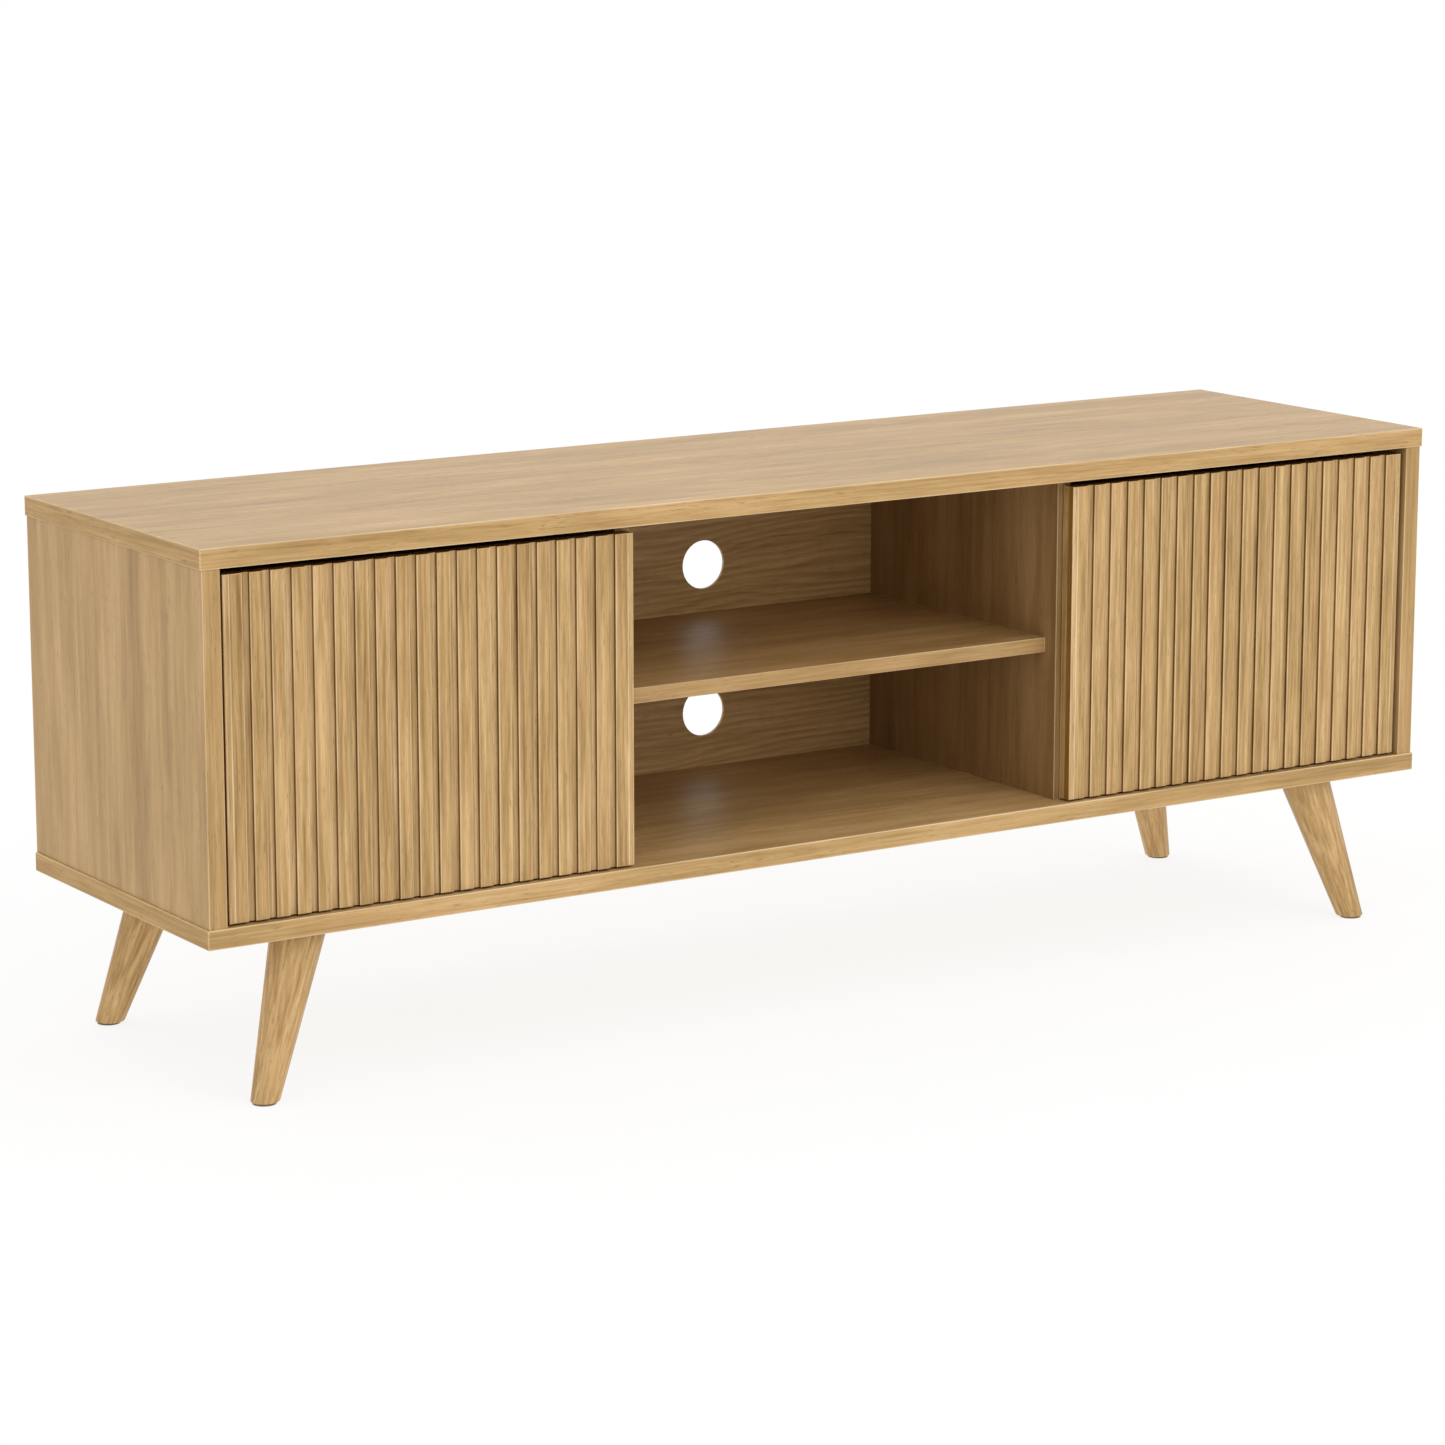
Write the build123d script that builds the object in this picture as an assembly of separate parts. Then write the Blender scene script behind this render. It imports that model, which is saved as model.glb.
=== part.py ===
"""Low media cabinet: an open bay with a shelf between two slatted doors, on four splayed legs.

Frame: millimetres, +Z up, front towards -Y, origin on the floor under the middle of the cabinet.
Each sub-part is written to parts/NODE.step.
"""

from build123d import *

import os

# ---- driving dimensions -----------------------------------------------------------------------

# carcass
width = 1400.0                 # top and bottom boards
depth = 365.0
leg_height = 154.0             # floor to the underside of the bottom board
carcass_height = 360.0         # underside of the bottom board to the top surface
top_t = 19.0
board_t = 18.0                 # bottom board and side panels
inner_t = 15.0                 # dividers and shelf
back_t = 3.0
edge_radius = 1.0              # rounded edge band of the boards
side_overhang = 2.0            # top and bottom boards past the side panels
front_overhang = 1.0
bay_width = 496.0              # clear width between the dividers
divider_recess = 22.5          # divider front edge behind the boards' front edge
shelf_recess = 40.5
shelf_top = 180.0              # above the underside of the bottom board
back_inset = 17.0              # back edge of the boards past the back panels
groove_depth = 6.0             # back panels let into the boards and side panels
divider_groove_depth = 5.0
groove_play = 0.2
cable_hole_r = 25.0
cable_hole_x = 40.0
cable_hole_rise = (57.5, 49.0)  # hole middle above the bottom board, and above the shelf

# doors
door_t = 16.0
door_recess = 5.0              # door face behind the boards' front edge
door_side_gap = 4.0
door_top_gap = 6.5
door_bottom_gap = 2.0
door_overlay = 9.0             # free edge over the divider's front edge
slats = 20
slat_pitch = 20.9
slat_groove_width = 7.5
slat_groove_depth = 3.5
slat_arris = 0.7

# legs
foot_from_end = 62.0           # leg axis at the floor
foot_from_front = 20.0
leg_splay_x = 50.0             # leg axis at the bottom board, further in than at the floor
leg_splay_y = 23.0
leg_top_r = 25.5
leg_foot_r = 13.0
glide_t = 2.0
glide_r = 11.0
leg_plate_size = 50.0
leg_plate_t = 3.0
leg_plate_screw_inset = 6.5
leg_boss_r = 7.5
leg_bolt_r = 4.0
leg_bolt_in_leg = 36.0
leg_bolt_in_board = 8.0
leg_pocket_r = 13.0
leg_pocket_depth = 13.0

# hinges
hinge_from_door_end = 60.0
pin_from_edge = 12.0           # hinge pin in from the door's hinge edge
pin_from_face = 9.5            # hinge pin behind the door's face
pin_r = 1.5
pin_length = 18.0
pin_play = 0.05
cup_r = 17.5
cup_depth = 11.0
cup_wall = 0.8
cup_from_edge = 4.5
cup_rim_t = 1.0
cup_ear_reach = 29.0
cup_ear_half = 7.0
cup_screw_reach = 24.0
lug_half = 3.0
arm_eye_r = 3.2
arm_width = 12.0
arm_t = 2.0
arm_length = 46.0
neck_reach = 10.0              # pin to the middle of the neck
neck_rise = 15.0               # pin to the middle of the cross-over
plate_t = 6.0                  # mounting plate between the arm and the side panel
wing_t = 2.0
wing_half = 7.0
wing_reach = 24.0
plate_screw_reach = 16.0
plate_behind_cross = 3.0
wing_behind_cross = 22.0
clamp_behind_cross = 38.0

# push latches
plunger_r = 4.0
plunger_length = 39.7
plunger_tip_radius = 1.2
plunger_travel = 10.0
plunger_play = 0.08
plunger_gap = 0.3              # plunger tip to strike plate, door shut
housing_half = 7.5
housing_length = 62.0
housing_behind_door = 7.0
housing_end_t = 4.0
housing_tab_t = 2.5
housing_tab_reach = 17.0
housing_screw_reach = 12.5
housing_tab_span = (20.0, 42.0)
spring_wire_r = 0.5
spring_turns = 6
spring_pitch = 3.2
strike_t = 1.0
strike_half = 8.0
strike_reach = 20.0
strike_screw_reach = 14.0

# carcass joints
bore_play = 0.15               # radial play round cams, cam bolts, dowels and long screws
pilot_play = 0.1               # radial play round short screws
cam_r = 7.5
cam_depth = 11.0
cam_from_board = 34.0
cam_places = (92.0, 290.0)     # behind the boards' front edge
cam_bolt_thread = 11.0
cam_bolt_thread_r = 2.8
cam_bolt_shank_r = 3.2
dowel_r = 4.0
dowel_half = 11.0
dowel_places = (60.0, 320.0)
shelf_screw_places = (95.0, 290.0)
shelf_screw_reach = 32.0
shelf_screw_head_t = 3.0
recess_width = 0.9             # cross recess in cams and screw heads

# ---- places worked out from them --------------------------------------------------------------

sides = {"left": -1, "right": 1}
ends = {"front": -1, "back": 1}
corners = [(s, e) for s in sides.values() for e in ends.values()]
front_y = -depth / 2
back_y = depth / 2
floor_z = leg_height + board_t                  # top surface of the bottom board
top_z = leg_height + carcass_height
ceiling_z = top_z - top_t                       # underside of the top board
shelf_z = leg_height + shelf_top
half_width = width / 2
side_out = half_width - side_overhang
side_in = side_out - board_t
bay_half = bay_width / 2
divider_out = bay_half + inner_t
back_panel_y = back_y - back_inset - back_t     # front face of the back panels
door_out = side_in - door_side_gap
door_in = divider_out - door_overlay
door_width = door_out - door_in
door_face_y = front_y + door_recess
door_back_y = door_face_y + door_t
door_low_z = floor_z + door_bottom_gap
door_high_z = ceiling_z - door_top_gap
pin_x = door_out - pin_from_edge
pin_y = door_face_y + pin_from_face
cup_x = door_out - cup_from_edge - cup_r
cross_y = pin_y + neck_rise
hinge_zs = {"lower": door_low_z + hinge_from_door_end, "upper": door_high_z - hinge_from_door_end}
latch_x = divider_out + housing_half
latch_z = (door_low_z + door_high_z) / 2
housing_y = door_back_y + housing_behind_door
plunger_tip_y = door_back_y + strike_t + plunger_gap


# ---- shape helpers ----------------------------------------------------------------------------

def block(x, y, z):
    """A box from three (start, end) pairs, given in either order."""
    spans = [sorted(pair) for pair in (x, y, z)]
    box = Box(*[high - low for low, high in spans], align=(Align.MIN,) * 3)
    return Pos(*[low for low, high in spans]) * box


def taper(start, end, start_r, end_r):
    """A round bar from one point to another whose radius changes evenly."""
    axis = Vector(end) - Vector(start)
    align = (Align.CENTER, Align.CENTER, Align.MIN)
    if start_r == end_r:
        bar = Cylinder(start_r, axis.length, align=align)
    else:
        bar = Cone(start_r, end_r, axis.length, align=align)
    return Plane(origin=Vector(start), z_dir=axis) * bar


def rod(start, end, radius):
    """A round bar from one point to another."""
    return taper(start, end, radius, radius)


def cross_recess(face, outwards, reach, sink):
    """A cross-shaped driver recess, sunk from a round face whose outward direction is given."""
    plane = Plane(origin=Vector(face) - Vector(outwards) * sink, z_dir=Vector(outwards))
    align = (Align.CENTER, Align.CENTER, Align.MIN)
    bar = Box(reach * 2, recess_width, sink * 2, align=align)
    return plane * (bar + Rot(0, 0, 90) * bar)


def pan_screw(tip, seat, radius, head_r, head_t, play=0.0):
    """A screw from its tip to a round head that stands on the seat. Play makes it a bore."""
    outwards = (Vector(seat) - Vector(tip)).normalized()
    top = Vector(seat) + outwards * head_t
    shape = rod(Vector(tip) - outwards * play, seat, radius + play) + rod(seat, top, head_r + play)
    if play:
        return shape
    return shape - cross_recess(top, outwards, head_r * 0.55, head_t * 0.6)


def flush_screw(tip, face, radius, head_r, play=0.0):
    """A countersunk screw whose head is level with the face. Play makes it a bore."""
    outwards = (Vector(face) - Vector(tip)).normalized()
    head_t = head_r - radius
    neck = Vector(face) - outwards * head_t
    shape = rod(Vector(tip) - outwards * play, face, radius + play)
    shape = shape + taper(neck, face, radius + play, head_r + play)
    if play:
        return shape
    return shape - cross_recess(face, outwards, head_r * 0.55, head_t * 0.7)


def group(solids):
    """Separate solids kept together in one node."""
    return Compound(children=list(solids))


def cut(board, tools):
    """Take away each tool that reaches into the board's own box."""
    box = board.bounding_box()
    for tool in tools:
        other = tool.bounding_box()
        apart = any(getattr(box.max, a) < getattr(other.min, a) or getattr(other.max, a) < getattr(box.min, a)
                    for a in "XYZ")
        if not apart:
            board = board - tool
    return board


def round_front(board, axis):
    """Round a panel's front edges that run along an axis."""
    return fillet(board.edges().filter_by(axis).group_by(Axis.Y)[0], edge_radius)


# ---- carcass joints ---------------------------------------------------------------------------

def uprights():
    """For each upright panel: the middle of its thickness, the way its compartment lies, that face."""
    outer = [((side_in + side_out) / 2, -1, side_in)]
    inner = [((bay_half + divider_out) / 2, 1, divider_out)]
    return [(s * middle, s * way, s * face) for middle, way, face in outer + inner for s in sides.values()]


def board_faces():
    """The two board surfaces that the uprights stand between, with the way into the upright."""
    return [(floor_z, 1), (ceiling_z, -1)]


def cam_lock(x, way, face, y, z, play):
    """A round cam lock let into an upright's compartment face. Play makes it a bore."""
    shape = rod((face - way * (cam_depth + play), y, z), (face, y, z), cam_r + play)
    if play:
        return shape
    return shape - cross_recess((face, y, z), (way, 0, 0), cam_r * 0.5, 2.5)


def cam_locks(play=0.0):
    """Two cam locks at each end of each upright."""
    return [cam_lock(x, way, face, front_y + y, z + up * cam_from_board, play)
            for x, way, face in uprights() for y in cam_places for z, up in board_faces()]


def cam_bolt(x, y, z, up, play):
    """A bolt threaded into a board, with a plain shank that reaches its cam lock."""
    thread = rod((x, y, z - up * (cam_bolt_thread + play)), (x, y, z), cam_bolt_thread_r + play)
    shank_end = cam_from_board - cam_r - 0.5
    return thread + rod((x, y, z), (x, y, z + up * shank_end), cam_bolt_shank_r + play)


def cam_bolts(play=0.0):
    """One bolt for each cam lock."""
    return [cam_bolt(x, front_y + y, z, up, play)
            for x, way, face in uprights() for y in cam_places for z, up in board_faces()]


def wood_dowels(play=0.0):
    """Wood dowels half in the boards and half in the uprights."""
    reach = dowel_half + play
    return [rod((x, front_y + y, z - reach), (x, front_y + y, z + reach), dowel_r + play)
            for x, way, face in uprights() for y in dowel_places for z, up in board_faces()]


def shelf_screws(play=0.0):
    """Screws sunk in the dividers' compartment faces, two into each end of the shelf."""
    z = shelf_z - inner_t / 2
    seat = divider_out - shelf_screw_head_t
    return [pan_screw((s * (bay_half - shelf_screw_reach), front_y + y, z), (s * seat, front_y + y, z),
                      2.5, 5.0, shelf_screw_head_t, play)
            for s in sides.values() for y in shelf_screw_places]


def joint_bores():
    """Bores for every cam lock, cam bolt, dowel and shelf screw."""
    return (cam_locks(bore_play) + cam_bolts(bore_play) + wood_dowels(bore_play) + shelf_screws(bore_play))


# ---- carcass ----------------------------------------------------------------------------------

def back_groove_y():
    """How far back the grooves for the back panels lie."""
    return (back_panel_y - groove_play / 2, back_panel_y + back_t + groove_play / 2)


def back_groove():
    """The groove for the back panels in the top, bottom and side boards."""
    sink = groove_depth + groove_play
    reach = side_in + sink
    return block((-reach, reach), back_groove_y(), (floor_z - sink, ceiling_z + sink))


def long_board(z_low, z_high):
    """A full-size board with all its edges rounded, grooved for the back panels."""
    board = block((-half_width, half_width), (front_y, back_y), (z_low, z_high))
    return fillet(board.edges(), edge_radius) - back_groove()


def top_panel():
    """The top board."""
    return cut(long_board(ceiling_z, top_z), joint_bores())


def bottom_panel():
    """The bottom board, with a blind bore over each leg plate for the plate's boss."""
    board = cut(long_board(leg_height, floor_z), joint_bores())
    return cut(board, [leg_pocket(s, e) for s, e in corners] + leg_plate_screws(pilot_play))


def side_panel(s):
    """An end panel, with the hinge plates' screws in its inner face."""
    board = block((s * side_in, s * side_out), (front_y + front_overhang, back_y), (floor_z, ceiling_z))
    board = round_front(board, Axis.Z) - back_groove()
    return cut(board, joint_bores() + hinge_plate_screws(pilot_play))


def divider(s):
    """An upright between the open bay and a door compartment, grooved both sides for the back."""
    board = block((s * bay_half, s * divider_out), (front_y + divider_recess, back_y), (floor_z, ceiling_z))
    board = round_front(board, Axis.Z)
    sink = divider_groove_depth + groove_play
    for face, inwards in ((bay_half, sink), (divider_out, -sink)):
        board = board - block((s * face, s * (face + inwards)), back_groove_y(), (floor_z, ceiling_z))
    return cut(board, joint_bores() + latch_screws(pilot_play))


def centre_shelf():
    """The shelf across the open bay."""
    board = block((-bay_half, bay_half), (front_y + shelf_recess, back_panel_y), (shelf_z - inner_t, shelf_z))
    return cut(round_front(board, Axis.X), joint_bores())


def back_panel(x_low, x_high):
    """A thin back board that stands in the grooves."""
    return block((x_low, x_high), (back_panel_y, back_panel_y + back_t),
                 (floor_z - groove_depth, ceiling_z + groove_depth))


def centre_back_panel():
    """The back of the open bay, with a round cable hole under the shelf and one over it."""
    half = bay_half + divider_groove_depth
    panel = back_panel(-half, half)
    for surface, rise in zip((floor_z, shelf_z), cable_hole_rise):
        z = surface + rise
        panel = panel - rod((cable_hole_x, back_panel_y - 1, z), (cable_hole_x, back_y, z), cable_hole_r)
    return panel


def outer_back_panel(s):
    """The back of a door compartment."""
    return back_panel(s * (divider_out - divider_groove_depth), s * (side_in + groove_depth))


# ---- legs -------------------------------------------------------------------------------------

def leg_ends(s, e):
    """A leg axis's point on the floor and its point at the underside of the bottom board."""
    foot = Vector(s * (half_width - foot_from_end), e * (depth / 2 - foot_from_front), 0)
    return foot, foot + Vector(-s * leg_splay_x, -e * leg_splay_y, leg_height)


def leg_direction(s, e):
    """The unit direction up a leg's axis."""
    foot, head = leg_ends(s, e)
    return (head - foot).normalized()


def level_slab(z_low, z_high):
    """A slab of height over the whole plan, to cut sloping pieces off level."""
    return block((-half_width, half_width), (front_y, back_y), (z_low, z_high))


def leg(s, e):
    """A tapered round leg, cut level at its glide and at its plate, bored for the hanger bolt."""
    foot, head = leg_ends(s, e)
    direction = leg_direction(s, e)
    spare = leg_top_r
    growth = (leg_top_r - leg_foot_r) / (head - foot).length * spare
    cone = taper(foot - direction * spare, head + direction * spare, leg_foot_r - growth, leg_top_r + growth)
    return (cone & level_slab(glide_t, leg_height - leg_plate_t)) - leg_bolt(s, e, bore_play)


def leg_bolt(s, e, play=0.0):
    """The hanger bolt along a leg's axis, from inside the leg into the plate's boss."""
    foot, head = leg_ends(s, e)
    direction = leg_direction(s, e)
    start = head - direction * (leg_bolt_in_leg + play)
    return rod(start, head + direction * leg_bolt_in_board, leg_bolt_r + play)


def leg_pocket(s, e):
    """The blind bore in the bottom board that a plate's boss stands in."""
    foot, head = leg_ends(s, e)
    return rod(head - Vector(0, 0, 1), head + Vector(0, 0, leg_pocket_depth), leg_pocket_r)


def leg_plate(s, e):
    """A square steel plate with an angled threaded boss."""
    foot, head = leg_ends(s, e)
    direction = leg_direction(s, e)
    half = leg_plate_size / 2
    plate = block((head.X - half, head.X + half), (head.Y - half, head.Y + half),
                  (leg_height - leg_plate_t, leg_height))
    plate = fillet(plate.edges().filter_by(Axis.Z), 5.0)
    boss = rod(head - direction * leg_boss_r * 2, head + direction * leg_bolt_in_board, leg_boss_r)
    boss = boss & level_slab(leg_height - leg_plate_t, floor_z)
    return cut(plate + boss - leg_bolt(s, e, bore_play), leg_plate_screws(pilot_play))


def leg_plate_screws(play=0.0):
    """Four countersunk screws up through each leg plate."""
    offset = leg_plate_size / 2 - leg_plate_screw_inset
    made = []
    for s, e in corners:
        foot, head = leg_ends(s, e)
        for dx in (-offset, offset):
            for dy in (-offset, offset):
                face = head + Vector(dx, dy, -leg_plate_t)
                made.append(flush_screw(face + Vector(0, 0, 15), face, 1.75, 3.6, play))
    return made


def foot_glide(s, e):
    """A thin round glide under a foot."""
    foot, head = leg_ends(s, e)
    return rod(foot, foot + Vector(0, 0, glide_t), glide_r)


# ---- doors ------------------------------------------------------------------------------------

def door_section():
    """A door's level outline, from x 0 at one edge and y 0 at the face: slats with eased arrises."""
    first = (door_width - (slats - 2) * slat_pitch - slat_groove_width) / 2
    points = [(0, door_t), (0, slat_arris), (slat_arris, 0)]
    for number in range(slats - 1):
        low = first + number * slat_pitch
        high = low + slat_groove_width
        points += [(low - slat_arris, 0), (low, slat_arris), (low, slat_groove_depth)]
        points += [(high, slat_groove_depth), (high, slat_arris), (high + slat_arris, 0)]
    points += [(door_width - slat_arris, 0), (door_width, slat_arris), (door_width, door_t)]
    return make_face(Polyline(*points, close=True))


def door_side_section():
    """A door's upright outline, with the top and bottom of its face eased like the slats."""
    low_y = door_face_y + slat_arris
    points = [(door_face_y, door_low_z + slat_arris), (low_y, door_low_z), (door_back_y, door_low_z),
              (door_back_y, door_high_z), (low_y, door_high_z), (door_face_y, door_high_z - slat_arris)]
    return Plane.YZ * make_face(Polyline(*points, close=True))


def door(s):
    """A slatted door, bored for its hinge cups and screws."""
    slab = extrude(door_section(), door_high_z - door_low_z)
    slab = Pos(door_in if s > 0 else -door_out, door_face_y, door_low_z) * slab
    slab = slab & extrude(door_side_section(), half_width, both=True)
    for z in hinge_zs.values():
        bottom = (s * cup_x, door_back_y - cup_depth, z)
        slab = slab - rod(bottom, (s * cup_x, divider_front_y(), z), cup_r + bore_play)
    return cut(slab, hinge_cup_screws(s, pilot_play) + strike_screws(s, pilot_play))


def divider_front_y():
    """The plane of the dividers' front edges."""
    return front_y + divider_recess


# ---- hinges -----------------------------------------------------------------------------------

def pin_bore(s, z, half, radius):
    """A bar along a hinge pin's axis, that reaches a half length either way."""
    return rod((s * pin_x, pin_y, z - half), (s * pin_x, pin_y, z + half), radius)


def hinge_cup(s, z):
    """A pressed cup with a rim and two screw ears, and two lugs inside that hold the pin."""
    x = s * cup_x
    low = door_back_y - cup_depth
    rim = door_back_y + cup_rim_t
    ears = block((x - cup_ear_half, x + cup_ear_half), (door_back_y, rim),
                 (z - cup_ear_reach, z + cup_ear_reach))
    cup = rod((x, low, z), (x, door_back_y, z), cup_r)
    cup = cup + rod((x, door_back_y, z), (x, rim, z), cup_r + cup_wall)
    cup = cup + fillet(ears.edges().filter_by(Axis.Y), 4.0)
    cup = cup - rod((x, low + cup_wall, z), (x, rim + 1, z), cup_r - cup_wall)
    for way in (-1, 1):
        lug_z = (z + way * (arm_width / 2 + cup_wall), z + way * pin_length / 2)
        cup = cup + block((s * pin_x - lug_half, s * pin_x + lug_half), (low, pin_y + lug_half), lug_z)
    return cut(cup - pin_bore(s, z, pin_length, pin_r), hinge_cup_screws(s, pilot_play))


def hinge_pin(s, z):
    """The pin that a hinge arm turns on."""
    return pin_bore(s, z, pin_length / 2, pin_r)


def hinge_arm(s, z):
    """A cranked arm: eye on the pin, neck out of the cup, cross-over, and a bar along the plate."""
    half = arm_t / 2
    span_z = (z - arm_width / 2, z + arm_width / 2)
    neck = (s * (pin_x - neck_reach - half), s * (pin_x - neck_reach + half))
    bar = (s * (side_in - plate_t - arm_t), s * (side_in - plate_t))
    arm = pin_bore(s, z, arm_width / 2, arm_eye_r)
    arm = arm + block((s * pin_x, neck[0]), (pin_y - half, pin_y + half), span_z)
    arm = arm + block(neck, (pin_y - half, cross_y + half), span_z)
    arm = arm + block((neck[0], bar[1]), (cross_y - half, cross_y + half), span_z)
    arm = arm + block(bar, (cross_y - half, cross_y + arm_length), span_z)
    return cut(arm - pin_bore(s, z, arm_width, pin_r + pin_play), hinge_arm_screws(pilot_play))


def hinge_plate(s, z):
    """The cross-shaped mounting plate between an arm and its side panel."""
    start_y = cross_y + plate_behind_cross
    wing_y = cross_y + wing_behind_cross
    spine = block((s * side_in, s * (side_in - plate_t)), (start_y, start_y + arm_length),
                  (z - arm_width / 2, z + arm_width / 2))
    wings = block((s * side_in, s * (side_in - wing_t)), (wing_y - wing_half, wing_y + wing_half),
                  (z - wing_reach, z + wing_reach))
    plate = spine + fillet(wings.edges().filter_by(Axis.X), 5.0)
    return cut(plate, hinge_plate_screws(pilot_play) + hinge_arm_screws(pilot_play))


def hinge_plate_screws(play=0.0):
    """Two screws through each mounting plate into its side panel."""
    y = cross_y + wing_behind_cross
    places = [(s, z + dz) for s in sides.values() for z in hinge_zs.values()
              for dz in (-plate_screw_reach, plate_screw_reach)]
    return [pan_screw((s * (side_in + 11), y, z), (s * (side_in - wing_t), y, z), 1.8, 3.5, 1.4, play)
            for s, z in places]


def hinge_arm_screws(play=0.0):
    """One clamp screw that holds each arm to its plate."""
    y = cross_y + clamp_behind_cross
    return [pan_screw((s * (side_in - 1), y, z), (s * (side_in - plate_t - arm_t), y, z), 2.4, 4.2, 1.8, play)
            for s in sides.values() for z in hinge_zs.values()]


def hinge_cup_screws(s, play=0.0):
    """Two screws through each hinge cup's ears into its door."""
    seat = door_back_y + cup_rim_t
    return [pan_screw((s * cup_x, door_back_y - 9, z + dz), (s * cup_x, seat, z + dz), 1.6, 3.2, 1.2, play)
            for z in hinge_zs.values() for dz in (-cup_screw_reach, cup_screw_reach)]


# ---- push latches -----------------------------------------------------------------------------

def latch_housing(s):
    """A latch's moulded body, bored for the plunger and its spring, with two screw tabs."""
    end_y = housing_y + housing_length
    body = block((s * divider_out, s * (divider_out + 2 * housing_half)), (housing_y, end_y),
                 (latch_z - housing_half, latch_z + housing_half))
    outer_edges = body.edges().filter_by(Axis.Y).sort_by(Axis.X, reverse=s > 0)[:2]
    tab = block((s * divider_out, s * (divider_out + housing_tab_t)),
                [housing_y + reach for reach in housing_tab_span],
                (latch_z - housing_tab_reach, latch_z + housing_tab_reach))
    body = fillet(outer_edges, 3.0) + fillet(tab.edges().filter_by(Axis.X), 4.0)
    bore = rod((s * latch_x, housing_y - 1, latch_z), (s * latch_x, end_y - housing_end_t, latch_z),
               plunger_r + plunger_play)
    return cut(body - bore, latch_screws(pilot_play))


def latch_plunger(s):
    """The sliding plunger with a rounded tip, pushed in while the door is shut."""
    stem = rod((s * latch_x, plunger_tip_y, latch_z), (s * latch_x, plunger_tip_y + plunger_length, latch_z),
               plunger_r)
    return fillet(stem.edges().group_by(Axis.Y)[0], plunger_tip_radius)


def latch_spring(s):
    """The compressed spring behind a plunger."""
    coil_r = plunger_r - 2 * spring_wire_r
    path = Helix(pitch=spring_pitch, height=spring_turns * spring_pitch, radius=coil_r)
    section = Plane(origin=path @ 0, z_dir=path % 0) * Circle(spring_wire_r)
    start_y = plunger_tip_y + plunger_length + 2 * spring_wire_r
    return Pos(s * latch_x, start_y, latch_z) * Rot(-90, 0, 0) * sweep(section, path=path)


def latch_screws(play=0.0):
    """Two screws through each housing's tabs into its divider."""
    y = housing_y + sum(housing_tab_span) / 2
    seat = divider_out + housing_tab_t
    places = [(s, latch_z + dz) for s in sides.values() for dz in (-housing_screw_reach, housing_screw_reach)]
    return [pan_screw((s * (divider_out - 9), y, z), (s * seat, y, z), 1.5, 2.8, 1.4, play)
            for s, z in places]


def strike_plate(s):
    """A small steel plate on a door's back, met by the plunger."""
    x = s * latch_x
    plate = block((x - strike_half, x + strike_half), (door_back_y, door_back_y + strike_t),
                  (latch_z - strike_reach, latch_z + strike_reach))
    return cut(fillet(plate.edges().filter_by(Axis.Y), 3.0), strike_screws(s, pilot_play))


def strike_screws(s, play=0.0):
    """Two screws that hold a strike plate."""
    seat = door_back_y + strike_t
    return [pan_screw((s * latch_x, door_back_y - 8, latch_z + dz), (s * latch_x, seat, latch_z + dz),
                      1.4, 2.6, 1.0, play) for dz in (-strike_screw_reach, strike_screw_reach)]


# ---- the assembly -----------------------------------------------------------------------------

def carcass_nodes():
    """The boards, and the joints that hold them together."""
    made = {"top_panel": top_panel(), "bottom_panel": bottom_panel(), "centre_shelf": centre_shelf(),
            "centre_back_panel": centre_back_panel(), "cam_locks": group(cam_locks()),
            "cam_bolts": group(cam_bolts()), "wood_dowels": group(wood_dowels()),
            "shelf_screws": group(shelf_screws())}
    for side, s in sides.items():
        made[f"{side}_side_panel"] = side_panel(s)
        made[f"{side}_divider"] = divider(s)
        made[f"{side}_back_panel"] = outer_back_panel(s)
    return made


def leg_nodes():
    """The four legs, and what holds them to the bottom board."""
    made = {"leg_bolts": group(leg_bolt(s, e) for s, e in corners),
            "foot_glides": group(foot_glide(s, e) for s, e in corners),
            "leg_plate_screws": group(leg_plate_screws())}
    for side, s in sides.items():
        for end, e in ends.items():
            made[f"{end}_{side}_leg"] = leg(s, e)
            made[f"{end}_{side}_leg_plate"] = leg_plate(s, e)
    return made


def door_nodes():
    """The doors, and their hinges."""
    made = {"hinge_plate_screws": group(hinge_plate_screws()), "hinge_arm_screws": group(hinge_arm_screws())}
    for side, s in sides.items():
        made[f"{side}_door"] = door(s)
        made[f"{side}_hinge_cup_screws"] = group(hinge_cup_screws(s))
        for level, z in hinge_zs.items():
            made[f"{side}_{level}_hinge_cup"] = hinge_cup(s, z)
            made[f"{side}_{level}_hinge_pin"] = hinge_pin(s, z)
            made[f"{side}_{level}_hinge_arm"] = hinge_arm(s, z)
            made[f"{side}_{level}_hinge_plate"] = hinge_plate(s, z)
    return made


def latch_nodes():
    """The push latches, and the strike plates that they press."""
    made = {"latch_screws": group(latch_screws())}
    for side, s in sides.items():
        made[f"{side}_latch_housing"] = latch_housing(s)
        made[f"{side}_latch_plunger"] = latch_plunger(s)
        made[f"{side}_latch_spring"] = latch_spring(s)
        made[f"{side}_strike_plate"] = strike_plate(s)
        made[f"{side}_strike_screws"] = group(strike_screws(s))
    return made


def nodes():
    """Every sub-part by name."""
    return carcass_nodes() | leg_nodes() | door_nodes() | latch_nodes()


os.makedirs("parts", exist_ok=True)
for node_name, shape in nodes().items():
    export_step(shape, f"parts/{node_name}.step")
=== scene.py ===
"""Looks of a low media cabinet in light oak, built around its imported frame.

Every length is in metres, with +Z up and the cabinet's front towards -Y. Each sub-assembly is a class that
dresses its own pieces, and each finish is a frozen dataclass that makes one material for one piece.
"""

import logging
import math
from dataclasses import dataclass, field, replace
from enum import Enum
from typing import Sequence

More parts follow.
